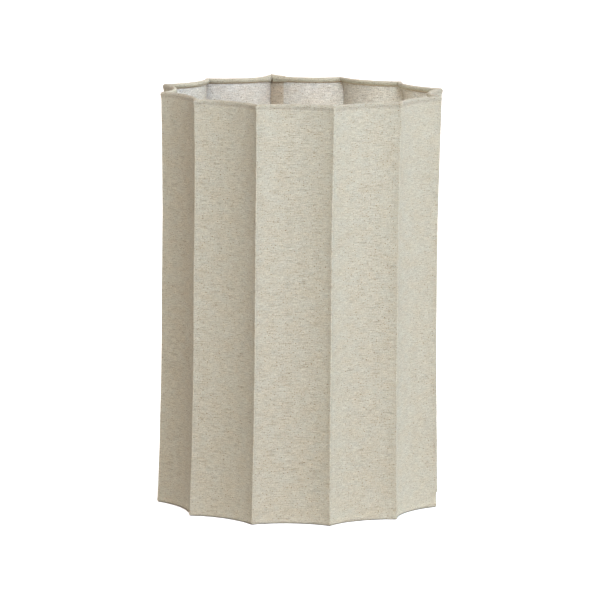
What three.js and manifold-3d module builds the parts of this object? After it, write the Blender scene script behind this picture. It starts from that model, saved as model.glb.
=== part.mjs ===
// A tall scalloped drum lamp shade: linen glued over twelve stiff backing panels that bow inwards between
// sharp upright ridges. The cloth rolls over a wire ring at the top and at the bottom, and three bent arms
// on the bottom ring carry the ring that a lampholder clamps.
// Millimetres, +Z up, origin at the middle of the base, ridges at every multiple of 30 degrees from +X.

import * as THREE from 'three';
import { mergeVertices } from 'three/addons/utils/BufferGeometryUtils.js';
import Module from 'manifold-3d';

const wasm = await Module();
wasm.setup();

// The shade
const PANELS = 12;
const HEIGHT = 398;
const BOTTOM_RIDGE_RADIUS = 139.3; // axis to a ridge on the outside of the wall, at the bottom ring
const TOP_RIDGE_RADIUS = 137.7;
const PANEL_WIDTH = 75; // flat width of one panel, from ridge to ridge
const WAIST_PINCH = 2.4; // how far the ridges bow inwards at mid-height
const WAIST_POWER = 2.3; // how evenly that bow spreads: 2 is a parabola

// Cloth and backing
const CLOTH = 0.6;
const BACKING = 0.5;
const GAP = 0.3; // clearance between pieces that lie against each other
const BARE_RIDGE = 2.5; // how far a backing panel stops short of a ridge
const SEAM_LAP = 15; // width of the glued overlap where the cloth meets itself
const SEAM_PANEL = 2; // the overlap lies on this panel, beside the ridge on +Y

// Wire rings and the edges rolled over them
const WIRE_RADIUS = 1.5;
const EDGE_RADIUS = WIRE_RADIUS + GAP + CLOTH;
const EDGE_BULGE = 0.5; // how far a rolled edge stands out from the wall
const WIRE_INSET = EDGE_RADIUS - EDGE_BULGE; // from the wall's outside to the wire's middle
const WALL_BOTTOM = 2 * EDGE_RADIUS + GAP;
const WALL_TOP = HEIGHT - WALL_BOTTOM;

// Lampholder fitting, for an E27 lampholder
const FITTER_HEIGHT = 45; // underside of the ring, above the base
const FITTER_THICKNESS = 1.5;
const FITTER_HOLE_RADIUS = 21;
const FITTER_RIM_RADIUS = 29;
const FITTER_CHAMFER = 0.3;
const ARM_RADIUS = 1.5;
const ARM_COUNT = 3;
const ARM_BEND_RADIUS = 5;
const ARM_UPRIGHT_INSET = 6.5; // from an arm's outer end in to its upright
const ARM_WELD_LENGTH = 3.5; // how far an arm runs under the fitter ring

// Fineness
const SEGMENTS = 5; // straight steps across a panel
const WALL_LEVELS = [0, 0.1, 0.28, 0.5, 0.72, 0.9, 1]; // heights of the wall's rows, as shares of its height
const EDGE_SIDES = 8;
const WIRE_SIDES = 6;
const ARM_SIDES = 6;
const ARM_STEPS = 20;
const FITTER_SEGMENTS = 40;

const linen = new THREE.MeshStandardMaterial({ color: 0xcdc8b8, roughness: 0.95, metalness: 0 });
const film = new THREE.MeshStandardMaterial({ color: 0xe6e2d6, roughness: 0.5, metalness: 0 });
const paintedWire = new THREE.MeshStandardMaterial({ color: 0xe8e6e0, roughness: 0.4, metalness: 0.2 });

// ---------------------------------------------------------------------------------------------------------
// Solids from points

// A mesh of one closed body, with its faces turned outwards.
function solid(name, points, triangles, material) {
  let volume = 0;
  for (const [a, b, c] of triangles) {
    volume += points[a].dot(points[b].clone().cross(points[c]));
  }
  const order = volume < 0 ? ([a, b, c]) => [a, c, b] : (triangle) => triangle;
  const geometry = new THREE.BufferGeometry().setFromPoints(points);
  geometry.setIndex(triangles.flatMap(order));
  geometry.computeVertexNormals();
  const mesh = new THREE.Mesh(geometry, material);
  mesh.name = name;
  return mesh;
}

// The two triangles between a pair of neighbouring points and the pair in the next row.
function quad(a, b, c, d) {
  return [[a, b, c], [a, c, d]];
}

// A hoop whose section is a closed outline: loops[i][j] is section point i at step j round the hoop.
function hoop(name, loops, material) {
  const around = loops[0].length;
  const triangles = [];
  for (let i = 0; i < loops.length; i += 1) {
    const next = (i + 1) % loops.length;
    for (let j = 0; j < around; j += 1) {
      const ahead = (j + 1) % around;
      triangles.push(...quad(i * around + j, i * around + ahead, next * around + ahead, next * around + j));
    }
  }
  return solid(name, loops.flat(), triangles, material);
}

// A sheet with thickness: rows of outside points and rows of inside points, joined along all four edges.
function sheet(name, outside, inside, material) {
  const rows = outside.length;
  const columns = outside[0].length;
  const at = (side, row, column) => (side * rows + row) * columns + column;
  const triangles = [];
  for (let row = 0; row + 1 < rows; row += 1) {
    for (let column = 0; column + 1 < columns; column += 1) {
      const corners = (side) => [
        at(side, row, column), at(side, row, column + 1), at(side, row + 1, column + 1), at(side, row + 1, column),
      ];
      triangles.push(...quad(...corners(0)));
      triangles.push(...quad(...corners(1).reverse()));
    }
    for (const column of [0, columns - 1]) {
      const edge = [at(0, row, column), at(0, row + 1, column), at(1, row + 1, column), at(1, row, column)];
      triangles.push(...quad(...(column === 0 ? edge : edge.reverse())));
    }
  }
  for (let column = 0; column + 1 < columns; column += 1) {
    for (const row of [0, rows - 1]) {
      const edge = [at(0, row, column), at(1, row, column), at(1, row, column + 1), at(0, row, column + 1)];
      triangles.push(...quad(...(row === 0 ? edge : edge.reverse())));
    }
  }
  return solid(name, [...outside.flat(), ...inside.flat()], triangles, material);
}

// ---------------------------------------------------------------------------------------------------------
// The scalloped outline

// Distance from the axis to a ridge, on the outside of the wall at height z.
function ridgeRadius(z) {
  const share = z / HEIGHT;
  const straight = THREE.MathUtils.lerp(BOTTOM_RIDGE_RADIUS, TOP_RIDGE_RADIUS, share);
  return straight - WAIST_PINCH * (1 - Math.abs(2 * share - 1) ** WAIST_POWER);
}

// Half the angle of an arc with this chord and this length, by Newton's method on sin(x) / x = chord / length.
function arcHalfAngle(chord, length) {
  const ratio = chord / length;
  let angle = Math.sqrt(6 * (1 - ratio));
  for (let step = 0; step < 5; step += 1) {
    angle -= (Math.sin(angle) - ratio * angle) / (Math.cos(angle) - ratio);
  }
  return angle;
}

// A point on the outside of a panel at height z, across from 0 at its first ridge to 1 at the next. A panel
// keeps its flat width, so it bows further inwards where the ridges are closer together.
function panelPoint(panel, across, z) {
  const halfPanel = Math.PI / PANELS;
  const chord = 2 * ridgeRadius(z) * Math.sin(halfPanel);
  const halfAngle = arcHalfAngle(chord, PANEL_WIDTH);
  const arcRadius = PANEL_WIDTH / (2 * halfAngle);
  const angle = (2 * across - 1) * halfAngle;
  const chordDistance = ridgeRadius(z) * Math.cos(halfPanel);
  const outwards = chordDistance + arcRadius * (Math.cos(halfAngle) - Math.cos(angle));
  const sideways = arcRadius * Math.sin(angle);
  return new THREE.Vector2(outwards, sideways).rotateAround(new THREE.Vector2(), (2 * panel + 1) * halfPanel);
}

// The path moved outwards by each point's own distance, with mitred corners.
function offsetPath(path, distances, closed) {
  const last = path.length - 1;
  const edgeNormal = (from, to) => {
    const along = path[to].clone().sub(path[from]).normalize();
    return new THREE.Vector2(along.y, -along.x);
  };
  return path.map((point, i) => {
    const before = i > 0 || closed ? edgeNormal(i === 0 ? last : i - 1, i) : edgeNormal(0, 1);
    const after = i < last || closed ? edgeNormal(i, i === last ? 0 : i + 1) : before;
    const mitre = before.clone().add(after).divideScalar(1 + before.dot(after));
    return point.clone().addScaledVector(mitre, distances[i]);
  });
}

function atHeight(path, z) {
  return path.map((point) => new THREE.Vector3(point.x, point.y, z));
}

// ---------------------------------------------------------------------------------------------------------
// Wall

// The rows of a sheet on the wall. stations are [panel, across, distance] in order round the shade, where
// distance is from the wall's outside to the sheet's own outside.
function wallSheet(name, stations, thickness, material) {
  const row = (z, depth) => {
    const path = stations.map(([panel, across]) => panelPoint(panel, across, z));
    const distances = stations.map(([, , distance]) => distance - depth);
    return atHeight(offsetPath(path, distances, false), z);
  };
  const heights = WALL_LEVELS.map((share) => THREE.MathUtils.lerp(WALL_BOTTOM, WALL_TOP, share));
  return sheet(name, heights.map((z) => row(z, 0)), heights.map((z) => row(z, thickness)), material);
}

// One length of linen. It starts as a tab under the seam, turns round the seam's ridge, goes once round the
// shade and ends on the same ridge, standing clear of the tab.
function linenCover() {
  const tabStart = 1 - SEAM_LAP / PANEL_WIDTH;
  const stations = [[SEAM_PANEL, tabStart, 0], [SEAM_PANEL, 1, 0]];
  for (let turn = 1; turn <= PANELS; turn += 1) {
    const panel = (SEAM_PANEL + turn) % PANELS;
    for (let step = 1; step <= SEGMENTS; step += 1) {
      const across = step / SEGMENTS;
      const overTab = turn === PANELS && across > tabStart - 0.5 / SEGMENTS;
      stations.push([panel, across, overTab ? CLOTH + GAP : 0]);
    }
  }
  return wallSheet('linen_cover', stations, CLOTH, linen);
}

function backingPanel(panel) {
  const margin = BARE_RIDGE / PANEL_WIDTH;
  const stations = [];
  for (let step = 0; step <= SEGMENTS; step += 1) {
    stations.push([panel, THREE.MathUtils.lerp(margin, 1 - margin, step / SEGMENTS), -CLOTH - GAP]);
  }
  const number = String(panel + 1).padStart(2, '0');
  return wallSheet(`backing_panel_${number}`, stations, BACKING, film);
}

// ---------------------------------------------------------------------------------------------------------
// Wire rings and rolled edges

// A hoop along the wire's line at one end of the shade. section is a list of [outwards, up] from the wire's
// middle; end is 0 at the bottom and 1 at the top, where the section is turned over.
function endHoop(name, section, end, material) {
  const path = [];
  for (let panel = 0; panel < PANELS; panel += 1) {
    for (let step = 0; step < SEGMENTS; step += 1) {
      path.push(panelPoint(panel, step / SEGMENTS, end * HEIGHT));
    }
  }
  const middle = end === 0 ? EDGE_RADIUS : HEIGHT - EDGE_RADIUS;
  const up = end === 0 ? 1 : -1;
  const loops = section.map(([outwards, rise]) => {
    const distances = path.map(() => outwards - WIRE_INSET);
    return atHeight(offsetPath(path, distances, true), middle + up * rise);
  });
  return hoop(name, loops, material);
}

// Corners of a regular polygon with a flat side at the bottom and at the top, from just left of the top.
function polygonCorners(sides, cornerRadius) {
  return Array.from({ length: sides }, (_, i) => {
    const angle = Math.PI / 2 + ((2 * i + 1) * Math.PI) / sides;
    return [cornerRadius * Math.cos(angle), cornerRadius * Math.sin(angle)];
  });
}

function wireRing(name, end) {
  return endHoop(name, polygonCorners(WIRE_SIDES, WIRE_RADIUS), end, paintedWire);
}

// Cloth wrapped round the wire. Its section is a C that stays open towards the wall.
function rolledEdge(name, end) {
  const cornerShare = 1 / Math.cos(Math.PI / EDGE_SIDES);
  const outside = polygonCorners(EDGE_SIDES, EDGE_RADIUS * cornerShare);
  const inside = polygonCorners(EDGE_SIDES, (EDGE_RADIUS - CLOTH) * cornerShare);
  return endHoop(name, [...outside, ...inside.reverse()], end, linen);
}

// ---------------------------------------------------------------------------------------------------------
// Lampholder fitting

function fitterRing() {
  const top = FITTER_HEIGHT + FITTER_THICKNESS;
  const profile = [
    [FITTER_HOLE_RADIUS, FITTER_HEIGHT],
    [FITTER_RIM_RADIUS - FITTER_CHAMFER, FITTER_HEIGHT],
    [FITTER_RIM_RADIUS, FITTER_HEIGHT + FITTER_CHAMFER],
    [FITTER_RIM_RADIUS, top - FITTER_CHAMFER],
    [FITTER_RIM_RADIUS - FITTER_CHAMFER, top],
    [FITTER_HOLE_RADIUS, top],
    [FITTER_HOLE_RADIUS, FITTER_HEIGHT],
  ].map(([radius, z]) => new THREE.Vector2(radius, z));
  const lathe = new THREE.LatheGeometry(profile, FITTER_SEGMENTS);
  lathe.rotateX(Math.PI / 2);
  const mesh = new THREE.Mesh(lathe, paintedWire);
  mesh.name = 'fitter_ring';
  return mesh;
}

// Arm n stands in the middle of every fourth panel, where the bottom ring comes nearest to the axis.
function armAngle(n) {
  return (2 * Math.PI * n) / ARM_COUNT + Math.PI / PANELS;
}

// Distance from the axis to the wire's middle at the middle of a panel.
function wireMiddleRadius() {
  return panelPoint(0, 0.5, 0).length() - WIRE_INSET;
}

// Straight stretches between the corners, with each inner corner rounded.
function bentPath(corners, bendRadius) {
  const path = new THREE.CurvePath();
  let start = corners[0];
  for (let i = 1; i + 1 < corners.length; i += 1) {
    const corner = corners[i];
    const before = corner.clone().addScaledVector(corners[i - 1].clone().sub(corner).normalize(), bendRadius);
    const after = corner.clone().addScaledVector(corners[i + 1].clone().sub(corner).normalize(), bendRadius);
    path.add(new THREE.LineCurve3(start, before));
    path.add(new THREE.QuadraticBezierCurve3(before, corner, after));
    start = after;
  }
  path.add(new THREE.LineCurve3(start, corners[corners.length - 1]));
  return path;
}

// An arm leaves the bottom ring inwards, rises as an upright and turns in under the fitter ring.
function fitterArm(n) {
  const outerEnd = wireMiddleRadius() - WIRE_RADIUS - GAP;
  const upright = outerEnd - ARM_UPRIGHT_INSET;
  const armHeight = FITTER_HEIGHT - GAP - ARM_RADIUS;
  const innerEnd = FITTER_RIM_RADIUS - ARM_WELD_LENGTH;
  const corners = [
    new THREE.Vector3(outerEnd, 0, EDGE_RADIUS),
    new THREE.Vector3(upright, 0, EDGE_RADIUS),
    new THREE.Vector3(upright, 0, armHeight),
    new THREE.Vector3(innerEnd, 0, armHeight),
  ];
  const section = new THREE.Shape(
    polygonCorners(ARM_SIDES, ARM_RADIUS).map(([x, y]) => new THREE.Vector2(x, y)),
  );
  const extrudePath = bentPath(corners, ARM_BEND_RADIUS);
  const geometry = new THREE.ExtrudeGeometry(section, { steps: ARM_STEPS, extrudePath, bevelEnabled: false });
  const mesh = new THREE.Mesh(geometry, paintedWire);
  mesh.name = `fitter_arm_${n + 1}`;
  mesh.rotation.z = armAngle(n);
  return mesh;
}

// ---------------------------------------------------------------------------------------------------------
// Notches where the arms pass through the bottom rolled edge

function toManifold(geometry) {
  const bare = geometry.clone();
  bare.deleteAttribute('normal');
  bare.deleteAttribute('uv');
  const merged = mergeVertices(bare);
  return new wasm.Manifold(new wasm.Mesh({
    numProp: 3,
    vertProperties: merged.getAttribute('position').array,
    triVerts: Uint32Array.from(merged.getIndex().array),
  }));
}

function toGeometry(manifold) {
  const { vertProperties, triVerts } = manifold.getMesh();
  const geometry = new THREE.BufferGeometry();
  geometry.setAttribute('position', new THREE.BufferAttribute(vertProperties, 3));
  geometry.setIndex(new THREE.BufferAttribute(triVerts, 1));
  geometry.computeVertexNormals();
  return geometry;
}

function notchForArms(edge) {
  let body = toManifold(edge.geometry);
  const reach = EDGE_RADIUS;
  for (let n = 0; n < ARM_COUNT; n += 1) {
    const cutter = new THREE.CylinderGeometry(ARM_RADIUS + GAP, ARM_RADIUS + GAP, 2 * reach, ARM_SIDES);
    cutter.rotateZ(Math.PI / 2);
    cutter.translate(wireMiddleRadius() - reach, 0, EDGE_RADIUS);
    cutter.rotateZ(armAngle(n));
    body = body.subtract(toManifold(cutter));
  }
  edge.geometry = toGeometry(body);
  return edge;
}

// ---------------------------------------------------------------------------------------------------------

const shade = new THREE.Group();
shade.name = 'lamp_shade';
shade.add(linenCover());
for (let panel = 0; panel < PANELS; panel += 1) {
  shade.add(backingPanel(panel));
}
shade.add(wireRing('bottom_wire_ring', 0));
shade.add(wireRing('top_wire_ring', 1));
shade.add(notchForArms(rolledEdge('bottom_rolled_edge', 0)));
shade.add(rolledEdge('top_rolled_edge', 1));
shade.add(fitterRing());
for (let n = 0; n < ARM_COUNT; n += 1) {
  shade.add(fitterArm(n));
}

export default shade;
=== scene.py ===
"""A tall scalloped lamp shade in natural linen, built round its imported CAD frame.

Lengths are in metres and places are in the frame's own coordinates: the shade's axis is Z, a ridge stands on
every multiple of 30 degrees from +X, and the linen's seam is on the ridge that faces +Y.
"""

import math
from collections import namedtuple

import bmesh
import bpy
import numpy as np
from mathutils import Matrix, Vector, noise


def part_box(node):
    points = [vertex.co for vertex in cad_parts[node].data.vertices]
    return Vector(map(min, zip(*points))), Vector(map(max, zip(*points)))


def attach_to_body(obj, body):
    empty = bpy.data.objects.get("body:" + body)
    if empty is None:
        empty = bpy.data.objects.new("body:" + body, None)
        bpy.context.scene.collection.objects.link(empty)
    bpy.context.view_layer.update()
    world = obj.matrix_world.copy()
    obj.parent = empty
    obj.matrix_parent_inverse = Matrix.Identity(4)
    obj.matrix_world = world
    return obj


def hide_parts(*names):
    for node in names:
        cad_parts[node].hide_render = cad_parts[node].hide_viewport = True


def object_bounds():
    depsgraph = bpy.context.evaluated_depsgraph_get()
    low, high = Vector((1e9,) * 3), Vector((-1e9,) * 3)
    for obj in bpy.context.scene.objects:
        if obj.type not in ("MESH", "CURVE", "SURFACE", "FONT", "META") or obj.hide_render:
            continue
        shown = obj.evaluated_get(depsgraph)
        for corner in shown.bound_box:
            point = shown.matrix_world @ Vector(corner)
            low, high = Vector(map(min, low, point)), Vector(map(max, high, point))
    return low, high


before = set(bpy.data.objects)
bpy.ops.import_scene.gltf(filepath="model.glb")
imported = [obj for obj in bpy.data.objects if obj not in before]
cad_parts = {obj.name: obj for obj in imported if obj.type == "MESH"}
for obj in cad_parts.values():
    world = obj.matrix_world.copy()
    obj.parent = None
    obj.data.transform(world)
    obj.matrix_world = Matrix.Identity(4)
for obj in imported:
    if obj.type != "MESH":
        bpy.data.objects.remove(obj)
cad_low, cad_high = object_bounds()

MM = 0.001

# The shade's outline, as the CAD has it
PANELS = 12
HALF_PANEL = math.pi / PANELS
BOTTOM_RIDGE_RADIUS = 139.3 * MM
TOP_RIDGE_RADIUS = 137.7 * MM
PANEL_WIDTH = 75 * MM
WAIST_PINCH = 2.4 * MM
WAIST_POWER = 2.3
SEAM_PANEL = 2
SEAM_LAP = 15 * MM
LAP_CLIMB = 2.5 * MM  # length over which the lapping end climbs on to the tab under it
HEIGHT = cad_high.z - cad_low.z
WALL_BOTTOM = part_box("linen_cover")[0].z
WALL_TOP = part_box("linen_cover")[1].z

# Cloth, film and wire
CLOTH = 0.45 * MM
FILM = 0.35 * MM
LAYER_GAP = 0.03 * MM
FOLD_RADIUS = 0.9 * MM  # outside radius of the cloth where it folds over a ridge
RIDGE_PINCH = 0.6 * MM  # how far a ridge stands out from the even curve of its panels
PINCH_LENGTH = 3 * MM  # how soon that falls off beside the ridge
WIRE_RADIUS = 1.5 * MM
WIRE_BEND_RADIUS = 2 * MM  # of the wire's middle at a ridge
EDGE_RADIUS = (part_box("bottom_rolled_edge")[1].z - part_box("bottom_rolled_edge")[0].z) / 2
TOP_BULGE = 0.8 * MM  # how far the top wire pushes the cloth out past the wall
BOTTOM_BULGE = 0.25 * MM
FLARE = 4.5 * MM  # length over which the cloth leaves the wall to go round the wire
RAW_EDGE_ANGLE = math.radians(235)  # how far round the wire the cloth goes, from outside
SNIP_ANGLE = math.radians(155)  # where the snip at each ridge starts
SNIP_HALF_WIDTH = 1.3 * MM
SLOT_ANGLE = math.radians(138)  # where the slots for the fitter's arms start
FILM_MARGIN = 0.08 * MM  # bare cloth between film and ridge
FILM_CLEARANCE = 0.2 * MM  # between film and wire
SEAM_SWELLING = 1.2 * MM  # extra bulk of a rolled edge at the seam's ridge
SEAM_FADE = 6 * MM  # how far that bulk goes on past the tab
SEAM_TAIL = 18 * MM  # and past the ridge
SEAM_RISE_ANGLE = math.radians(60)  # how far round the wire it takes to reach its full bulk
TAB_TAIL = 9 * MM  # past the ridge, over which the cloth comes down from the tab's level
GLUE_RADIUS = 0.5 * MM
GLUE_BEND_RADIUS = 1 * MM
GLUE_PAST_WIRE = 2.1 * MM  # from the wire's middle to the glue's
GLUE_UNEVENNESS = 0.35
GLUE_LUMP_LENGTH = 6 * MM

# Fitter
RING_LOW, RING_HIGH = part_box("fitter_ring")
RING_HOLE_RADIUS = 21 * MM
ARM_PANELS = (0, 4, 8)
ARM_RADIUS = 1.5 * MM
ARM_BEND_RADIUS = 5 * MM
ARM_UPRIGHT_RADIUS = 115.5 * MM
ARM_OUTER_RADIUS = 121.8 * MM
ARM_INNER_RADIUS = 25.5 * MM
ARM_SLOT_HALF_WIDTH = 2.2 * MM
ARM_STUB = 0.8 * MM  # straight end of an arm at the wire
ARM_GAP = 0.1 * MM  # between an arm and the ring that it is welded to
ARM_DRAWN_RADIUS = 60 * MM  # an arm lies as drawn inside this radius
ARM_SETTLED_RADIUS = 110 * MM  # and moves with the wall outside this one
PRESSED_LENGTH = 8 * MM  # of an arm's inner end, which is pressed flatter and wider
PRESSED_FADE = 5 * MM
PRESSED_WIDENING = 0.2
PRESSED_FLATTENING = 0.35
RING_ROUNDING = 0.55 * MM
RING_WELD_SIZE = (2.2 * MM, 2.2 * MM, 0.9 * MM)  # half of its width, length and height
RING_WELD_FROM_END = 1.5 * MM  # of the arm
RING_WELD_DROP = 0.6 * MM  # from the ring's underside
WIRE_WELD_SIZE = (1.6 * MM, 1.6 * MM, 1.5 * MM)
WELD_UNEVENNESS = 0.25
WELD_LUMPS = 1.7

# How the hand-made shade differs from its drawing
RIDGE_SHIFTS = (1, -1, 0, -2, -2, -3.5, 0, -0.5, -1.3, 0.4, 0.5, 1)  # of each ridge, in mm along SIDEWAYS
RIM_SHIFTS = (0, -4, -3.5, 0, 0, 0, 0, 0, 0, 0, 0, 0)  # further, of the top wire's corners
RIM_FADE = 14 * MM  # height over which the panels take up their place under those corners
SIDEWAYS = (0.976, 0.216, 0)  # roughly to the right, as the camera sees it
SWAY = 0.7 * MM  # slow wander of walls and ridges
SWAY_LENGTH = 120 * MM
RIPPLE = 0.18 * MM  # quicker unevenness along a ridge or rim
RIPPLE_LENGTH = 28 * MM
RIPPLE_OFFSET = Vector((7, 3, 5))  # keeps the ripple from following the wander
UPRIGHT_SHARE = 0.6  # of the wander and ripple that goes up and down, at the top
noise.seed_set(3)  # without a seed, noise_vector is different on each run

# Fineness
PANEL_COLUMNS = 24
RIDGE_COLUMNS = 5
WALL_ROWS = 64
END_ROWS = 7
ROLL_ROWS = 26
TUBE_SIDES = 14
RING_SIDES = 96
JOIN_DISTANCE = 0.002 * MM
SHARP_ANGLE = math.radians(50)


def ease(share):
    """From 0 to 1 with level ends."""
    share = min(max(share, 0), 1)
    return share * share * (3 - 2 * share)


# ----------------------------------------------------------------------------------------------------------
# The scalloped outline

# A column of points up the shade: across runs from -1 at a panel's first ridge to 1 at its second, turn from
# 0 to 1 round that second ridge, and lift is how far the cloth stands out there.
Station = namedtuple("Station", "panel across turn lift", defaults=(0.0, 0.0))


def ridge_radius(z):
    share = z / HEIGHT
    straight = BOTTOM_RIDGE_RADIUS + (TOP_RIDGE_RADIUS - BOTTOM_RIDGE_RADIUS) * share
    return straight - WAIST_PINCH * (1 - np.abs(2 * share - 1) ** WAIST_POWER)


def panel_arc(z):
    """Distance from the axis to the centre of a panel's arc, and the arc's radius, at heights z. The arc
    keeps the panel's flat width. Newton's method finds its half angle, where sin(x) / x is chord / width,
    from a start at the first terms of that series."""
    chord = 2 * ridge_radius(z) * math.sin(HALF_PANEL)
    ratio = chord / PANEL_WIDTH
    angle = np.sqrt(6 * (1 - ratio))
    for _ in range(5):
        angle = angle - (np.sin(angle) - ratio * angle) / (np.cos(angle) - ratio)
    radius = PANEL_WIDTH / (2 * angle)
    return ridge_radius(z) * math.cos(HALF_PANEL) + radius * np.cos(angle), radius


def pinch(across):
    """How far the wall sinks beside the ridges, which makes them sharper than two even arcs would."""
    distance = (1 - np.abs(across)) * PANEL_WIDTH / 2
    return RIDGE_PINCH * (1 - np.exp(-distance / PINCH_LENGTH))


def outline(stations, z, depth, core=FOLD_RADIUS):
    """Points at heights z and `depth` inside the wall's outside. A ridge turns round a point at depth
    `core`, so it is rounded outside that and mitred inside it. z and depth are each one number, or one for
    each station."""
    panel = np.array([s.panel for s in stations])
    across = np.array([s.across for s in stations])
    turn = np.array([s.turn for s in stations])
    z = np.broadcast_to(z, panel.shape).astype(float)
    depth = np.broadcast_to(depth, panel.shape) + pinch(across)
    centre, radius = panel_arc(np.clip(z, 0, HEIGHT))
    corner_depth = np.maximum(core, depth)
    limit = np.arcsin(centre * math.sin(HALF_PANEL) / (radius + corner_depth)) - HALF_PANEL
    angle = across * limit
    outwards = centre - (radius + corner_depth) * np.cos(angle)
    sideways = (radius + corner_depth) * np.sin(angle)
    middle = (2 * panel + 1) * HALF_PANEL
    facing = middle - angle + turn * 2 * (HALF_PANEL + limit)
    x = outwards * np.cos(middle) - sideways * np.sin(middle) + (corner_depth - depth) * np.cos(facing)
    y = outwards * np.sin(middle) + sideways * np.cos(middle) + (corner_depth - depth) * np.sin(facing)
    return np.stack([x, y, z], axis=-1)


def ridge_shift(point):
    """How far the nearest ridges take a point with them, out of their even spacing."""
    near_rim = ease(1 - (HEIGHT - point.z) / RIM_FADE)
    place = math.atan2(point.y, point.x) / (2 * HALF_PANEL) % PANELS
    first = int(place) % PANELS
    second = (first + 1) % PANELS
    share = ease(place - int(place))
    here = RIDGE_SHIFTS[first] + RIM_SHIFTS[first] * near_rim
    there = RIDGE_SHIFTS[second] + RIM_SHIFTS[second] * near_rim
    return Vector(SIDEWAYS) * (here + (there - here) * share) * MM


def settled(points):
    """The points moved a little, as glue and hands leave them. Layers that touch move together, and the
    bottom stays level."""
    moved = []
    for point in points:
        point = Vector(point)
        slow = noise.noise_vector(point / SWAY_LENGTH)
        quick = noise.noise_vector(point / RIPPLE_LENGTH + RIPPLE_OFFSET)
        shift = slow * SWAY + quick * RIPPLE + ridge_shift(point)
        shift.z *= UPRIGHT_SHARE * min(max(point.z / HEIGHT, 0), 1)
        moved.append(point + shift)
    return moved


def bulge(z):
    return TOP_BULGE if z > HEIGHT / 2 else BOTTOM_BULGE


def wire_inset(z):
    """Depth of the middle of the wire at this end of the shade, inside the wall's outside."""
    return EDGE_RADIUS - bulge(z)


def flare(z):
    """How far the wall stands out near its ends, where it goes out over the wires."""
    end_distance = min(z, HEIGHT - z) - EDGE_RADIUS
    return bulge(z) * ease(1 - end_distance / FLARE)


def panel_shares():
    """Positions across a panel, closer together near its ridges, with the sides of an arm's slot among
    them."""
    shares = [math.sin(turn) for turn in np.linspace(-math.pi / 2, math.pi / 2, PANEL_COLUMNS + 1)]
    slot = ARM_SLOT_HALF_WIDTH / (PANEL_WIDTH / 2)
    return sorted([s for s in shares if abs(abs(s) - slot) > slot / 2] + [-slot, slot])


def ridge_stations(panel):
    turns = np.linspace(0, 1, RIDGE_COLUMNS + 2)[1:-1]
    return [Station(panel, 1.0, turn) for turn in turns]


TAB_START = 1 - 2 * SEAM_LAP / PANEL_WIDTH
CLIMB_START = TAB_START - 0.07  # just before the lapping end starts to climb


def lap_lift(across):
    """The lapping end of the cloth climbs on to the tab under it just before the tab begins."""
    climb = LAP_CLIMB / (PANEL_WIDTH / 2)
    return ease((across - TAB_START) / climb + 1) * (CLOTH + LAYER_GAP)


def cover_stations():
    """The tab under the seam, round the seam's ridge, once round the shade, and back to that ridge."""
    stations = [Station(SEAM_PANEL, across) for across in np.linspace(TAB_START, 1, 9)]
    stations += ridge_stations(SEAM_PANEL)
    for step in range(1, PANELS):
        panel = (SEAM_PANEL + step) % PANELS
        stations += [Station(panel, across) for across in panel_shares()]
        stations += ridge_stations(panel)
    lapping = sorted(panel_shares() + list(np.linspace(CLIMB_START, TAB_START, 5)))
    stations += [Station(SEAM_PANEL, across, 0.0, lap_lift(across)) for across in lapping]
    return stations


def cloth_across(stations):
    """Distance along the cloth to each station, in order, measured at mid-height."""
    points = outline(stations, HEIGHT / 2, 0)
    steps = np.linalg.norm(np.diff(points, axis=0), axis=1)
    return np.concatenate([[0], np.cumsum(steps)])


# ----------------------------------------------------------------------------------------------------------
# Meshes

def make_piece(name, points, faces, uvs, material, thickness=0):
    """A smooth mesh object. uvs has a place on the cloth for each point, in metres. Points that coincide are
    joined, and a sheet is thickened on the side away from where its faces look."""
    mesh = bpy.data.meshes.new(name)
    mesh.from_pydata([tuple(p) for p in points], [], faces)
    layer = mesh.uv_layers.new(name="cloth")
    for loop in mesh.loops:
        layer.data[loop.index].uv = uvs[loop.vertex_index]
    shape = bmesh.new()
    shape.from_mesh(mesh)
    bmesh.ops.remove_doubles(shape, verts=shape.verts, dist=JOIN_DISTANCE)
    bmesh.ops.delete(shape, geom=[v for v in shape.verts if not v.link_faces], context="VERTS")
    shape.to_mesh(mesh)
    shape.free()
    mesh.materials.append(material)
    mesh.shade_smooth()
    piece = bpy.data.objects.new(name, mesh)
    bpy.context.scene.collection.objects.link(piece)
    if thickness:
        solidify = piece.modifiers.new("Thickness", "SOLIDIFY")
        solidify.thickness = thickness
        solidify.offset = -1
        solidify.use_even_offset = True
        thick = piece.evaluated_get(bpy.context.evaluated_depsgraph_get())
        piece.data = bpy.data.meshes.new_from_object(thick)
        piece.modifiers.clear()
    piece.data.set_sharp_from_angle(angle=SHARP_ANGLE)
    return piece


def attach(piece, slot, *nodes):
    """Gives a piece its body and hides the CAD nodes that it stands for, if any. slot is not used."""
    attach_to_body(piece, "root")
    if nodes:
        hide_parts(*nodes)
    return piece


def grid_faces(rows, columns, skip=None):
    """Faces between rows of points, but for those that skip(row, column) leaves out."""
    faces = []
    for row in range(rows - 1):
        for column in range(columns - 1):
            low = row * columns + column
            if skip is None or not skip(row, column):
                faces.append((low, low + 1, low + columns + 1, low + columns))
    return faces


# A row of a sheet: its outside is `out` beyond the wall's outside at height z, it faces (facing_out,
# facing_up), and along is its place up the cloth. round_wire is the angle that it has gone round the wire,
# or 0 on the wall.
Row = namedtuple("Row", "out z facing_out facing_up along round_wire")


def profile_rows(path, along_start):
    """Rows for a path of (out, z, round_wire), which goes up on the outside."""
    rows = []
    along = along_start
    for i, (out, z, round_wire) in enumerate(path):
        before, after = path[max(i - 1, 0)], path[min(i + 1, len(path) - 1)]
        facing = Vector((after[1] - before[1], before[0] - after[0])).normalized()
        if i > 0:
            along += math.hypot(out - path[i - 1][0], z - path[i - 1][1])
        rows.append(Row(out, z, facing.x, facing.y, along, round_wire))
    return rows


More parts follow.
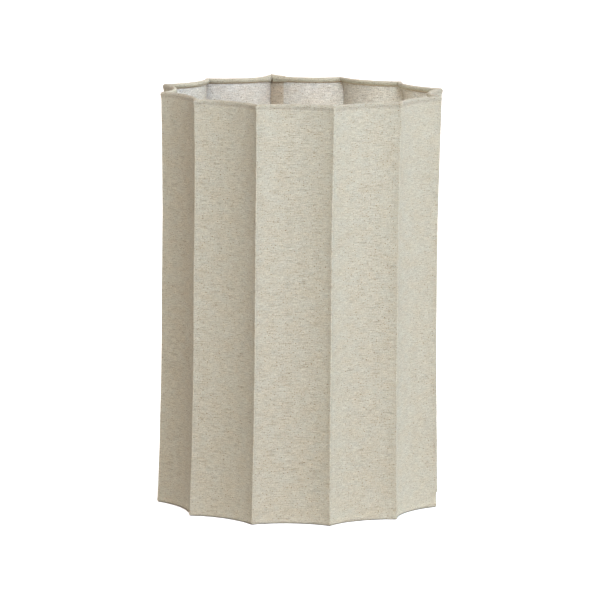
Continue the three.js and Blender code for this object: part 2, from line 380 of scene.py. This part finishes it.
def wall_rows():
    """The wall from roll to roll, with finer rows near its ends."""
    fine = 6 * MM
    heights = [
        *np.linspace(WALL_BOTTOM, WALL_BOTTOM + fine, END_ROWS)[:-1],
        *np.linspace(WALL_BOTTOM + fine, WALL_TOP - fine, WALL_ROWS),
        *np.linspace(WALL_TOP - fine, WALL_TOP, END_ROWS)[1:],
    ]
    return profile_rows([(flare(z), z, 0) for z in heights], WALL_BOTTOM)


def roll_rows(top):
    """From the wall, round the wire and in to the raw edge behind it."""
    wire_z = HEIGHT - EDGE_RADIUS if top else EDGE_RADIUS
    wall_z = WALL_TOP if top else WALL_BOTTOM
    up = 1 if top else -1
    path = [(flare(z), z, 0) for z in np.linspace(wall_z, wire_z, END_ROWS)[:-1]]
    for angle in np.linspace(0, RAW_EDGE_ANGLE, ROLL_ROWS):
        out = EDGE_RADIUS * math.cos(angle) - wire_inset(wire_z)
        path.append((out, wire_z + up * EDGE_RADIUS * math.sin(angle), angle))
    if top:
        return profile_rows(path, WALL_TOP)
    length = sum(math.hypot(b[0] - a[0], b[1] - a[1]) for a, b in zip(path, path[1:]))
    return profile_rows(path[::-1], WALL_BOTTOM - length)


def snip_opening(row):
    """Half the width of the snip at a ridge, in this row."""
    return SNIP_HALF_WIDTH * max(row.round_wire - SNIP_ANGLE, 0) / (RAW_EDGE_ANGLE - SNIP_ANGLE)


def seam_share(station, row):
    """How much of the seam's bulk there is here. It is greatest at the seam's ridge."""
    distance = (1 - station.across) * PANEL_WIDTH / 2
    if station.panel == SEAM_PANEL:
        share = 1 - distance / (SEAM_LAP + SEAM_FADE)
    elif station.panel == SEAM_PANEL + 1:
        share = 1 - (PANEL_WIDTH - distance) / SEAM_TAIL
    else:
        share = 0
    return max(share, 0) * ease(row.round_wire / SEAM_RISE_ANGLE)


def lower_layer(station):
    """Thickness of the lapping end, which is the lower layer under the shade. Past the seam's ridge it fades
    out, so that the cloth comes down there from the tab's level to the rest."""
    if station.panel == SEAM_PANEL:
        return lap_lift(station.across)
    if station.panel == SEAM_PANEL + 1:
        past_ridge = (station.across + 1) * PANEL_WIDTH / 2
        return (CLOTH + LAYER_GAP) * ease(1 - past_ridge / TAB_TAIL)
    return 0


def row_points(row, stations):
    """The row's points, standing out by each station's lift and by the seam's bulk. Under the shade the
    lapping end stays level with the rest, and the tab goes up to make room for it."""
    on_floor = row.facing_up < 0 and row.z < EDGE_RADIUS
    lifts, rises = [], []
    for station in stations:
        lift = station.lift + SEAM_SWELLING * seam_share(station, row)
        lifts.append(lift)
        rises.append(station.lift - lower_layer(station) if on_floor else lift)
    heights = row.z + row.facing_up * np.array(rises)
    return outline(stations, heights, -row.out - row.facing_out * np.array(lifts))


def cloth_piece(name, rows, stations, material, slotted=False):
    """A piece of the linen, over these rows and stations. It is snipped at the ridges behind the wire, and
    slotted there for the fitter's arms."""
    along_cloth = cloth_across(stations)
    points, uvs = [], []
    for row in rows:
        narrowing = 1 - snip_opening(row) / (PANEL_WIDTH / 2)
        narrowed = [s._replace(across=s.across * narrowing) for s in stations]
        points.append(row_points(row, narrowed))
        uvs += [(u, row.along) for u in along_cloth]

    def skip(row, column):
        here, there = stations[column], stations[column + 1]
        furthest = max(rows[row].round_wire, rows[row + 1].round_wire)
        at_ridge = here.turn > 0 or there.turn > 0
        if at_ridge and furthest > SNIP_ANGLE:
            return True
        mid_panel = abs(here.across + there.across) < 0.01
        at_arm = slotted and here.panel in ARM_PANELS and mid_panel
        return at_arm and min(rows[row].round_wire, rows[row + 1].round_wire) > SLOT_ANGLE

    faces = grid_faces(len(rows), len(stations), skip)
    return make_piece(name, settled(np.concatenate(points)), faces, uvs, material, CLOTH)


def film_piece(panel, material):
    """A backing panel, from just past one wire to just past the other."""
    margin = FILM_MARGIN / (PANEL_WIDTH / 2)
    stations = [Station(panel, share * (1 - margin)) for share in panel_shares()]
    low = EDGE_RADIUS + WIRE_RADIUS + FILM_CLEARANCE
    high = HEIGHT - low
    fine = 5 * MM
    heights = [
        *np.linspace(low, low + fine, END_ROWS - 1)[:-1],
        *np.linspace(low + fine, high - fine, WALL_ROWS),
        *np.linspace(high - fine, high, END_ROWS - 1)[1:],
    ]
    points, uvs = [], []
    for z in heights:
        points.append(outline(stations, z, CLOTH + LAYER_GAP - flare(z)))
        uvs += [(PANEL_WIDTH * (panel + (s.across + 1) / 2), z) for s in stations]
    faces = grid_faces(len(heights), len(stations))
    return make_piece(f"film_{panel + 1:02}", settled(np.concatenate(points)), faces, uvs, material, FILM)


def tube(name, centres, radii, material, closed=False, flatness=None):
    """A round bar through these centres, with a radius at each. flatness, if given, has the share of its
    height that it keeps at each."""
    centres = [Vector(c) for c in centres]
    count = len(centres)
    points, uvs = [], []
    side = None
    along = 0.0
    for i, centre in enumerate(centres):
        before = centres[i - 1] if closed or i > 0 else centre
        after = centres[(i + 1) % count] if closed or i < count - 1 else centre
        direction = (after - before).normalized()
        side = (side or direction.orthogonal()) if not closed else Vector((0, 0, 1))
        side = (side - direction * side.dot(direction)).normalized()
        other = direction.cross(side)
        along += (centre - centres[i - 1]).length if i > 0 else 0
        for k in range(TUBE_SIDES):
            angle = 2 * math.pi * k / TUBE_SIDES
            offset = (side * math.cos(angle) + other * math.sin(angle)) * radii[i]
            if flatness is not None:
                offset.z *= flatness[i]
            points.append(centre + offset)
            uvs.append((along, radii[i] * angle))
    faces = []
    for i in range(count if closed else count - 1):
        for k in range(TUBE_SIDES):
            a, b = i * TUBE_SIDES, (i + 1) % count * TUBE_SIDES
            faces.append((a + k, a + (k + 1) % TUBE_SIDES, b + (k + 1) % TUBE_SIDES, b + k))
    if not closed:
        faces.append(tuple(range(TUBE_SIDES))[::-1])
        faces.append(tuple(range((count - 1) * TUBE_SIDES, count * TUBE_SIDES)))
    return make_piece(name, points, faces, uvs, material)


def round_shade(z, depth, bend_depth):
    """Points round the shade at a height and depth, with each ridge turned round a point at bend_depth."""
    stations = []
    for panel in range(PANELS):
        stations += [Station(panel, share) for share in panel_shares()] + ridge_stations(panel)
    return settled(outline(stations, z, depth, bend_depth))


def wire_ring(name, z, material):
    centres = round_shade(z, wire_inset(z), wire_inset(z) + WIRE_BEND_RADIUS)
    return tube(name, centres, [WIRE_RADIUS] * len(centres), material, closed=True)


def glue_bead(name, z, material):
    """A thin uneven bead between the film and the raw edge of the cloth, just past the wire."""
    centres = round_shade(z, wire_inset(z), wire_inset(z) + GLUE_BEND_RADIUS)
    radii = [GLUE_RADIUS * (1 + GLUE_UNEVENNESS * noise.noise(c / GLUE_LUMP_LENGTH)) for c in centres]
    return tube(name, centres, radii, material, closed=True)


def arm_piece(number, material):
    """A rod from the bottom wire, up beside the wall and in to the underside of the fitter's ring. Its outer
    part moves with the wall, and its inner end is pressed a little flat."""
    angle = (2 * ARM_PANELS[number] + 1) * HALF_PANEL
    low_z = EDGE_RADIUS
    high_z = RING_LOW.z - ARM_RADIUS - ARM_GAP
    bend = ARM_BEND_RADIUS
    quarter = np.linspace(0, math.pi / 2, 9)
    upright = ARM_UPRIGHT_RADIUS
    path = [(ARM_OUTER_RADIUS - step, low_z) for step in (0, ARM_STUB / 2, ARM_STUB)]
    path += [(upright + bend * (1 - math.sin(t)), low_z + bend * (1 - math.cos(t))) for t in quarter]
    path += [(upright, z) for z in np.linspace(low_z + bend, high_z - bend, 6)[1:-1]]
    path += [(upright - bend * (1 - math.cos(t)), high_z - bend * (1 - math.sin(t))) for t in quarter]
    path += [(r, high_z) for r in np.linspace(upright - bend, ARM_INNER_RADIUS, 26)[1:]]
    centres = []
    for r, z in path:
        drawn = Vector((r * math.cos(angle), r * math.sin(angle), z))
        share = ease((r - ARM_DRAWN_RADIUS) / (ARM_SETTLED_RADIUS - ARM_DRAWN_RADIUS))
        centres.append(drawn.lerp(settled([drawn])[0], share))
    pressed = [ease((ARM_INNER_RADIUS + PRESSED_LENGTH - r) / PRESSED_FADE) for r, _ in path]
    radii = [ARM_RADIUS * (1 + PRESSED_WIDENING * share) for share in pressed]
    flatness = [1 - PRESSED_FLATTENING * share for share in pressed]
    return tube(f"arm_{number + 1}", centres, radii, material, flatness=flatness)


def weld_piece(name, place, size, material):
    """A small uneven weld bead."""
    shape = bmesh.new()
    bmesh.ops.create_icosphere(shape, subdivisions=3, radius=1)
    for vertex in shape.verts:
        lump = 1 + WELD_UNEVENNESS * noise.noise(vertex.co * WELD_LUMPS + place / MM)
        vertex.co = place + Vector([c * s * lump for c, s in zip(vertex.co, size)])
    points = [v.co.copy() for v in shape.verts]
    faces = [tuple(v.index for v in f.verts) for f in shape.faces]
    shape.free()
    return make_piece(name, points, faces, [(0, 0)] * len(points), material)


def fitter_ring(material):
    """The flat ring that the lampholder holds, with its edges rounded by stamping and paint."""
    inner = RING_HOLE_RADIUS + RING_ROUNDING
    outer = RING_HIGH.x - RING_ROUNDING
    low = RING_LOW.z + RING_ROUNDING
    high = RING_HIGH.z - RING_ROUNDING
    profile = []
    for r, z, start in ((outer, low, -90), (outer, high, 0), (inner, high, 90), (inner, low, 180)):
        for degrees in np.linspace(start, start + 90, 5):
            turn = math.radians(degrees)
            profile.append((r + RING_ROUNDING * math.cos(turn), z + RING_ROUNDING * math.sin(turn)))
    points = []
    for angle in np.linspace(0, 2 * math.pi, RING_SIDES, endpoint=False):
        points += [(r * math.cos(angle), r * math.sin(angle), z) for r, z in profile]
    count = len(profile)
    faces = []
    for i in range(RING_SIDES):
        here = i * count
        there = (i + 1) % RING_SIDES * count
        for k in range(count):
            faces.append((here + k, there + k, there + (k + 1) % count, here + (k + 1) % count))
    return make_piece("ring", points, faces, [(p[0], p[1]) for p in points], material)


# ----------------------------------------------------------------------------------------------------------
# Materials

class Graph:
    """Adds nodes to a material's or world's tree. A number or colour sets an input, and another node's
    output links to it."""

    def __init__(self, owner):
        self.tree = owner.node_tree

    def add(self, kind, inputs, output=0, **settings):
        """A node with these inputs and settings. Gives back the output that is asked for."""
        node = self.tree.nodes.new("ShaderNode" + kind)
        for name, value in settings.items():
            setattr(node, name, value)
        for name, value in inputs.items():
            if isinstance(value, bpy.types.NodeSocket):
                self.tree.links.new(value, node.inputs[name])
            else:
                node.inputs[name].default_value = value
        return node.outputs[output]

    def maths(self, operation, a, b=0.0):
        return self.add("Math", {0: a, 1: b}, operation=operation)

    def noise(self, place, width, height, detail=2.0, shift=0.0):
        """Smooth noise from 0 to 1, in blobs of about this width and height in metres."""
        moved = self.add("VectorMath", {0: place, 1: (shift, shift, 0)}, operation="ADD")
        scaled = self.add("VectorMath", {0: moved, 1: (1 / width, 1 / height, 1)}, operation="MULTIPLY")
        inputs = {"Vector": scaled, "Scale": 1.0, "Detail": detail, "Roughness": 0.55}
        return self.add("TexNoise", inputs, noise_dimensions="2D")

    def ramp(self, value, low, high, start=0.0, end=1.0):
        """Goes smoothly from start to end while value goes from low to high."""
        inputs = {"Value": value, "From Min": low, "From Max": high, "To Min": start, "To Max": end}
        return self.add("MapRange", inputs, interpolation_type="SMOOTHSTEP")

    def mix(self, share, a, b, blend="MIX"):
        return self.add("Mix", {0: share, 6: a, 7: b}, output=2, data_type="RGBA", blend_type=blend)


def new_material(name, colour, roughness):
    """A plain material and its main shader."""
    material = bpy.data.materials.new(name)
    material.use_nodes = True
    shader = material.node_tree.nodes["Principled BSDF"]
    shader.inputs["Base Color"].default_value = (*colour, 1)
    shader.inputs["Roughness"].default_value = roughness
    return material, shader


THREAD = 0.62 * MM  # pitch of the weave, both ways
LINEN_COOL = (0.500, 0.478, 0.396, 1)
LINEN_WARM = (0.500, 0.462, 0.370, 1)
SLUB = (0.42, 0.34, 0.24, 1)
SPECK = (0.30, 0.19, 0.10, 1)
FLECK = (0.20, 0.11, 0.05, 1)
# painted shade on the cloth over the top wire, for the light that comes through the wall but not through the
# wire
OVER_WIRE_PAINTED_SHADE = (0.89, 0.88, 0.88, 1)


def add_weave(graph, cool, warm, contrast):
    """Colour and height of natural linen: plain weave of uneven threads, with slubs, flecks and mottling."""
    place = graph.add("UVMap", {}, uv_map="cloth")
    mottle = graph.noise(place, 16 * MM, 11 * MM, 3.0, 1.7)
    weft = graph.noise(place, 7 * MM, 0.85 * MM, 2.0, 0.3)
    warp = graph.noise(place, 0.75 * MM, 4 * MM, 2.0, 0.9)
    grain = graph.noise(place, 1.1 * MM, 1.0 * MM, 1.0, 6.7)
    slub = graph.ramp(graph.noise(place, 14 * MM, 0.8 * MM, 1.0, 2.3), 0.64, 0.76)
    fleck = graph.ramp(graph.noise(place, 1.9 * MM, 0.8 * MM, 1.0, 4.1), 0.68, 0.76)
    speck = graph.ramp(graph.noise(place, 0.9 * MM, 0.7 * MM, 1.0, 5.7), 0.60, 0.74)

    colour = graph.mix(graph.ramp(mottle, 0.2, 0.8), cool, warm)
    tone = graph.maths("ADD", graph.maths("MULTIPLY", weft, 0.45), graph.maths("MULTIPLY", warp, 0.25))
    tone = graph.maths("ADD", tone, graph.maths("MULTIPLY", grain, 0.30))
    tone = graph.ramp(tone, 0.3, 0.7, 1 - contrast, 1 + contrast)
    colour = graph.add("VectorMath", {0: colour, "Scale": tone}, operation="SCALE")
    colour = graph.mix(graph.maths("MULTIPLY", slub, 0.30), colour, SLUB)
    colour = graph.mix(graph.maths("MULTIPLY", speck, 0.36), colour, SPECK)
    colour = graph.mix(graph.maths("MULTIPLY", fleck, 0.70), colour, FLECK)

    parts = graph.add("SeparateXYZ", {"Vector": place})
    across = graph.maths("SINE", graph.maths("MULTIPLY", parts, math.pi / THREAD))
    up = graph.maths("SINE", graph.maths("MULTIPLY", parts.node.outputs["Y"], math.pi / THREAD))
    over = graph.maths("MULTIPLY", graph.maths("MULTIPLY", across, up), 0.5)
    warp_height = graph.maths("MULTIPLY", graph.maths("ABSOLUTE", across), graph.maths("ADD", over, 0.5))
    weft_height = graph.maths("MULTIPLY", graph.maths("ABSOLUTE", up), graph.maths("SUBTRACT", 0.5, over))
    height = graph.maths("MAXIMUM", warp_height, weft_height)
    height = graph.maths("ADD", height, graph.maths("MULTIPLY", slub, 0.8))
    height = graph.maths("ADD", height, graph.maths("MULTIPLY", weft, 0.8))
    return colour, height


def linen_material():
    """Natural linen, with painted shade outside the top wire, where no light comes through it from behind.
    """
    material, shader = new_material("linen", LINEN_COOL[:3], 0.92)
    graph = Graph(material)
    colour, height = add_weave(graph, LINEN_COOL, LINEN_WARM, 0.13)
    along = graph.add("SeparateXYZ", {"Vector": graph.add("UVMap", {}, uv_map="cloth")}, output=1)
    above_wall = graph.ramp(along, WALL_TOP - 0.5 * MM, WALL_TOP + 1 * MM)
    outside_rim = graph.ramp(along, WALL_TOP + 5.5 * MM, WALL_TOP + 7.5 * MM, 1.0, 0.0)
    painted_shade_over_wire = graph.maths("MULTIPLY", above_wall, outside_rim)
    # painted shade over the top wire
    colour = graph.mix(painted_shade_over_wire, colour, OVER_WIRE_PAINTED_SHADE, "MULTIPLY")
    bump = graph.add("Bump", {"Height": height, "Distance": 0.22 * MM, "Strength": 1.0})
    graph.tree.links.new(colour, shader.inputs["Base Color"])
    graph.tree.links.new(bump, shader.inputs["Normal"])
    shader.inputs["Specular IOR Level"].default_value = 0.2
    shader.inputs["Sheen Weight"].default_value = 0.15
    return material


FILM_COOL = (0.592, 0.570, 0.520, 1)
FILM_WARM = (0.587, 0.551, 0.491, 1)
# painted shade for the seam's band, where two layers of cloth let less light through from behind
DOUBLE_CLOTH_PAINTED_SHADE = (0.91, 0.845, 0.775, 1)


def film_material():
    """Clear film behind the linen. The weave shows through it, with painted shade where the cloth is double.
    """
    material, shader = new_material("backing_film", FILM_COOL[:3], 0.5)
    graph = Graph(material)
    colour, height = add_weave(graph, FILM_COOL, FILM_WARM, 0.20)
    place = graph.add("UVMap", {}, uv_map="cloth")
    across = graph.add("SeparateXYZ", {"Vector": place})
    seam = (SEAM_PANEL + 1) * PANEL_WIDTH
    past_tab = graph.ramp(across, seam - SEAM_LAP, seam - SEAM_LAP + 0.5 * MM)
    painted_shade_in_lap = graph.maths("MULTIPLY", past_tab, graph.maths("LESS_THAN", across, seam))
    # painted shade on the seam's band
    colour = graph.mix(painted_shade_in_lap, colour, DOUBLE_CLOTH_PAINTED_SHADE, "MULTIPLY")
    bump = graph.add("Bump", {"Height": height, "Distance": 0.03 * MM, "Strength": 1.0})
    graph.tree.links.new(colour, shader.inputs["Base Color"])
    graph.tree.links.new(bump, shader.inputs["Normal"])
    shader.inputs["Specular IOR Level"].default_value = 0.25
    return material


# ----------------------------------------------------------------------------------------------------------
# The pieces

def build_cloth():
    linen = linen_material()
    film = film_material()
    stations = cover_stations()
    for panel in range(PANELS):
        attach(film_piece(panel, film), "backing_film", f"backing_panel_{panel + 1:02}")
    for name, node, rows, wire in (
        ("cover_cloth", "linen_cover", wall_rows(), None),
        ("top_edge_cloth", "top_rolled_edge", roll_rows(True), "top_wire_ring"),
        ("bottom_edge_cloth", "bottom_rolled_edge", roll_rows(False), "bottom_wire_ring"),
    ):
        slotted = node.startswith("bottom")
        cloth = attach(cloth_piece(name, rows, stations, linen, slotted), "linen", node)


def build_metal():
    paint = new_material("white_paint", (0.80, 0.80, 0.78), 0.35)[0]
    attach(wire_ring("bottom_wire", EDGE_RADIUS, paint), "wire", "bottom_wire_ring")
    attach(wire_ring("top_wire", HEIGHT - EDGE_RADIUS, paint), "wire", "top_wire_ring")
    attach(fitter_ring(paint), "wire", "fitter_ring")
    for number, panel in enumerate(ARM_PANELS):
        attach(arm_piece(number, paint), "wire", f"fitter_arm_{number + 1}")
        angle = (2 * panel + 1) * HALF_PANEL
        outwards = Vector((math.cos(angle), math.sin(angle), 0))
        at_ring = outwards * (ARM_INNER_RADIUS + RING_WELD_FROM_END)
        at_ring.z = RING_LOW.z - RING_WELD_DROP
        attach(weld_piece(f"ring_weld_{number + 1}", at_ring, RING_WELD_SIZE, paint), "wire")
        at_wire = outwards * ARM_OUTER_RADIUS
        at_wire.z = EDGE_RADIUS
        at_wire = settled([at_wire])[0]
        attach(weld_piece(f"wire_weld_{number + 1}", at_wire, WIRE_WELD_SIZE, paint), "wire")


def build_glue():
    # the beads' brown is partly real glue and partly painted shade for the dark gap under each raw edge
    glue_and_shade = new_material("glue_and_shade", (0.47, 0.37, 0.27), 0.5)[0]
    attach(glue_bead("top_glue", HEIGHT - EDGE_RADIUS - GLUE_PAST_WIRE, glue_and_shade), "linen")
    attach(glue_bead("bottom_glue", EDGE_RADIUS + GLUE_PAST_WIRE, glue_and_shade), "linen")


# ----------------------------------------------------------------------------------------------------------
# Camera, floor and light

VIEW_AZIMUTH = math.radians(-12.45)  # of the camera, counted from -Y
VIEW_DISTANCE = 4.03  # of the camera, from the shade's axis
VIEW_HEIGHT = 0.8275
VIEW_PITCH = math.radians(8.931)
VIEW_ROLL = math.radians(0.62)
LENS = 253.2
SENSOR_WIDTH = 36
EXPOSURE = 0.32
CONTRAST = 1.45
INNER_GLOW = 0.31  # watts; stands for the daylight that real linen lets through
INNER_GLOW_OFFSET = 0.05  # from the shade's axis, to the right
LIGHT_TARGET = Vector((0, 0, 0.3))
SOFTBOX_DISTANCE = 1.2  # from the shade's axis
SOFTBOX_HEIGHT = 1.1
SOFTBOX_SIZE = 0.6
FLOOR_HALF_WIDTH = 40


def make_camera():
    camera = bpy.data.objects.new("camera", bpy.data.cameras.new("camera"))
    camera.data.lens = LENS
    camera.data.sensor_width = SENSOR_WIDTH
    camera.data.clip_end = 200
    forward = Vector((-math.sin(VIEW_AZIMUTH), math.cos(VIEW_AZIMUTH), -math.tan(VIEW_PITCH))).normalized()
    right = forward.cross(Vector((0, 0, 1))).normalized()
    up = right.cross(forward)
    rolled_right = right * math.cos(VIEW_ROLL) + up * math.sin(VIEW_ROLL)
    rolled_up = up * math.cos(VIEW_ROLL) - right * math.sin(VIEW_ROLL)
    place = Vector((math.sin(VIEW_AZIMUTH), -math.cos(VIEW_AZIMUTH), 0)) * VIEW_DISTANCE
    place.z = VIEW_HEIGHT
    turn = Matrix((rolled_right, rolled_up, -forward)).transposed().to_4x4()
    camera.matrix_world = Matrix.Translation(place) @ turn
    bpy.context.scene.collection.objects.link(camera)
    bpy.context.scene.camera = camera


def direction_to(azimuth, elevation):
    """Towards a light. azimuth is counted from the camera's side of the shade, to the camera's right."""
    angle = VIEW_AZIMUTH - math.pi / 2 + math.radians(azimuth)
    rise = math.radians(elevation)
    return Vector((math.cos(angle) * math.cos(rise), math.sin(angle) * math.cos(rise), math.sin(rise)))


def make_world():
    """A soft studio: a bright horizon, brightest on the right, and wide glows in front, above, on the right
    and behind. Each glow has its azimuth and elevation, its tightness and its colour."""
    world = bpy.data.worlds.new("studio")
    world.use_nodes = True
    graph = Graph(world)
    direction = graph.add("TexCoord", {}, output=0)

    def facing(azimuth, elevation):
        inputs = {0: direction, 1: direction_to(azimuth, elevation)}
        return graph.add("VectorMath", inputs, output=1, operation="DOT_PRODUCT")

    colour = (0.28, 0.25, 0.25, 1)
    for towards, tightness, glow_colour in (
        ((10, 10), 10.0, (0.85, 0.80, 0.93, 1)),
        ((20, 50), 4.0, (0.80, 0.52, 0.05, 1)),
        ((40, 20), 8.0, (0.00, 0.23, 0.95, 1)),
        ((72, 10), 10.0, (0.35, 0.35, 0.45, 1)),
        ((100, 10), 10.0, (0.75, 1.15, 1.05, 1)),
        ((130, 10), 10.0, (1.00, 1.25, 1.70, 1)),
        ((-165, 20), 4.0, (0.75, 0.72, 0.70, 1)),
    ):
        share = graph.maths("POWER", graph.maths("MAXIMUM", facing(*towards), 0.0), tightness)
        glow = graph.mix(share, (0, 0, 0, 1), glow_colour)
        colour = graph.mix(1.0, colour, glow, "ADD")
    horizon = graph.add("MapRange", {"Value": facing(90, 0), "From Min": -1.0, "To Min": 0.8, "To Max": 4.0})
    horizon = graph.add("CombineColor", {"Red": horizon, "Green": horizon, "Blue": horizon})
    up = graph.add("SeparateXYZ", {"Vector": direction}, output=2)
    colour = graph.mix(graph.ramp(up, 0.04, 0.12), horizon, colour)
    graph.tree.links.new(colour, world.node_tree.nodes["Background"].inputs["Color"])
    bpy.context.scene.world = world


def add_light(name, kind, energy, colour, place):
    """A light that points at the upper part of the shade and is not seen itself."""
    light = bpy.data.lights.new(name, kind)
    light.energy = energy
    light.color = colour
    lamp = bpy.data.objects.new(name, light)
    lamp.location = place
    lamp.rotation_euler = (LIGHT_TARGET - lamp.location).to_track_quat("-Z", "Y").to_euler()
    lamp.visible_camera = False
    bpy.context.scene.collection.objects.link(lamp)
    return light


def make_floor():
    side = FLOOR_HALF_WIDTH
    corners = [(-side, -side, 0), (side, -side, 0), (side, side, 0), (-side, side, 0)]
    mesh = bpy.data.meshes.new("floor")
    mesh.from_pydata(corners, [], [(0, 1, 2, 3)])
    mesh.materials.append(new_material("floor", (0.90, 0.90, 0.90), 0.8)[0])
    floor = bpy.data.objects.new("floor", mesh)
    bpy.context.scene.collection.objects.link(floor)


def make_lights():
    """A sun overhead, a soft box above the camera's side, and the light that comes through the cloth."""
    add_light("overhead", "SUN", 1.6, (0.98, 1.0, 1.08), (0, 0, 3))
    above_front = direction_to(10, 0) * SOFTBOX_DISTANCE + Vector((0, 0, SOFTBOX_HEIGHT))
    softbox = add_light("softbox", "AREA", 7.2, (0.71, 1.0, 1.29), above_front)
    softbox.size = SOFTBOX_SIZE
    inside = direction_to(100, 0) * INNER_GLOW_OFFSET + LIGHT_TARGET
    glow = add_light("light_through_cloth", "POINT", INNER_GLOW, (1.0, 1.0, 0.92), inside)
    glow.shadow_soft_size = 0.07


def set_view():
    """Exposure, and a little more contrast than Standard has."""
    view = bpy.context.scene.view_settings
    view.view_transform = "Standard"
    view.exposure = EXPOSURE
    view.gamma = 1 / CONTRAST


make_camera()
build_cloth()
build_metal()
build_glue()
make_floor()
make_world()
make_lights()
set_view()
